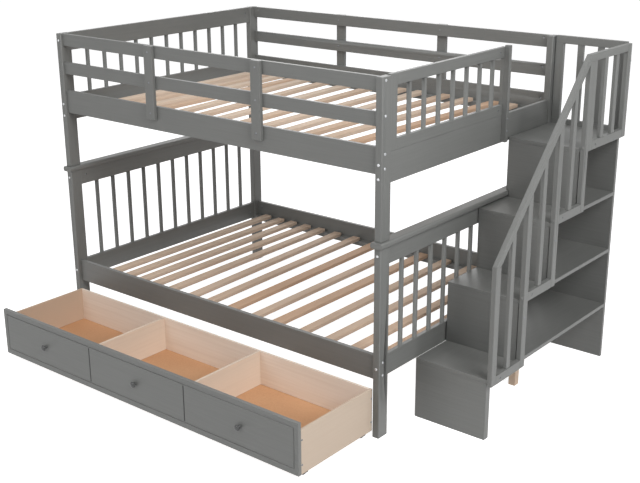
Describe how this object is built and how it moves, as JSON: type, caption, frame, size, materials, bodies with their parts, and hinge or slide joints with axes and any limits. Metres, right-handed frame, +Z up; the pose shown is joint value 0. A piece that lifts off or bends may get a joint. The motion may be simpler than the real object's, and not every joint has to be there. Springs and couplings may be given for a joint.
{
  "type": "bunk bed with storage stairs",
  "caption": "Wooden bunk bed with slatted bases, open-shelf storage stairs with a railing at the foot end, and a wide divided under-bed drawer on castors.",
  "frame": {"origin": "middle of the foot of the front post at the head end, on the floor", "axes": "+X along the bed from the head end to the stairs, +Y from the front to the rear, +Z up"},
  "size_m": [2.401, 1.959, 1.578],
  "materials": {
    "grey_paint": "satin grey paint on wood",
    "raw_pine": "raw planed pine",
    "drawer_board": "raw plywood",
    "hardboard": "smooth hardboard",
    "zinc_steel": "bright zinc plating",
    "dark_knob": "satin paint on turned wood",
    "castor_plastic": "moulded plastic",
    "castor_wheel": "moulded plastic wheel"
  },
  "bodies": {
    "root": {"slat_ledgers": "grey_paint", "lower_posts": "grey_paint", "upper_posts": "grey_paint", "cap_rail_head": "grey_paint", "cap_rail_foot": "grey_paint", "top_rail_front": "grey_paint", "top_rail_rear": "grey_paint", "side_rail_front": "grey_paint", "side_rail_rear": "grey_paint", "mid_rails": "grey_paint", "lower_side_rails": "grey_paint", "guard_boards": "grey_paint", "lower_end_top_boards": "grey_paint", "lower_end_bottom_boards": "grey_paint", "lower_end_balusters": "grey_paint", "head_top_rail": "grey_paint", "head_cross_board": "grey_paint", "head_balusters": "grey_paint", "foot_cross_board": "grey_paint", "entry_guard_rails": "grey_paint", "entry_guard_stiles": "grey_paint", "entry_guard_balusters": "grey_paint", "entry_guard_edge_board": "grey_paint", "riser_1": "grey_paint", "riser_2": "grey_paint", "riser_3": "grey_paint", "riser_4": "grey_paint", "tread_1": "grey_paint", "tread_2": "grey_paint", "tread_3": "grey_paint", "stair_platform": "grey_paint", "stair_back_panel": "grey_paint", "handrail": "grey_paint", "stair_rail_stiles": "grey_paint", "stair_rail_balusters": "grey_paint", "stair_rail_bottom_rails": "grey_paint", "rear_guard_rails": "grey_paint", "rear_guard_uprights": "grey_paint", "slats_upper": "raw_pine", "slats_lower": "raw_pine", "stair_leg": "raw_pine", "bed_bolts": "zinc_steel", "barrel_nuts": "zinc_steel", "frame_screws": "zinc_steel", "post_pins": "zinc_steel"},
    "drawer": {"drawer_front": "grey_paint", "drawer_inner_front": "drawer_board", "drawer_back": "drawer_board", "drawer_sides": "drawer_board", "drawer_dividers": "drawer_board", "drawer_bottoms": "hardboard", "drawer_knobs": "dark_knob", "drawer_screws": "zinc_steel", "castor_forks": "castor_plastic", "castor_axles": "zinc_steel"},
    "wheel_front_head": {"wheel_front_head": "castor_wheel"},
    "wheel_front_foot": {"wheel_front_foot": "castor_wheel"},
    "wheel_rear_head": {"wheel_rear_head": "castor_wheel"},
    "wheel_rear_foot": {"wheel_rear_foot": "castor_wheel"}
  },
  "joints": [
    {"name": "drawer_slide", "type": "slide", "parent": "root", "child": "drawer", "axis": [0, 1, 0], "range_m": [0, 0.485]},
    {"name": "wheel_front_head_spin", "type": "hinge", "parent": "drawer", "child": "wheel_front_head", "pos_m": [0.05, -0.456, 0.018], "axis": [1, 0, 0], "continuous": true},
    {"name": "wheel_front_foot_spin", "type": "hinge", "parent": "drawer", "child": "wheel_front_foot", "pos_m": [1.916, -0.456, 0.018], "axis": [1, 0, 0], "continuous": true},
    {"name": "wheel_rear_head_spin", "type": "hinge", "parent": "drawer", "child": "wheel_rear_head", "pos_m": [0.05, -0.069, 0.018], "axis": [1, 0, 0], "continuous": true},
    {"name": "wheel_rear_foot_spin", "type": "hinge", "parent": "drawer", "child": "wheel_rear_foot", "pos_m": [1.916, -0.069, 0.018], "axis": [1, 0, 0], "continuous": true}
  ],
  "couplings": [
    {"joint": "wheel_front_head_spin", "follows": "drawer_slide", "rad_per_m": -55.556},
    {"joint": "wheel_front_foot_spin", "follows": "drawer_slide", "rad_per_m": -55.556},
    {"joint": "wheel_rear_head_spin", "follows": "drawer_slide", "rad_per_m": -55.556},
    {"joint": "wheel_rear_foot_spin", "follows": "drawer_slide", "rad_per_m": -55.556}
  ]
}
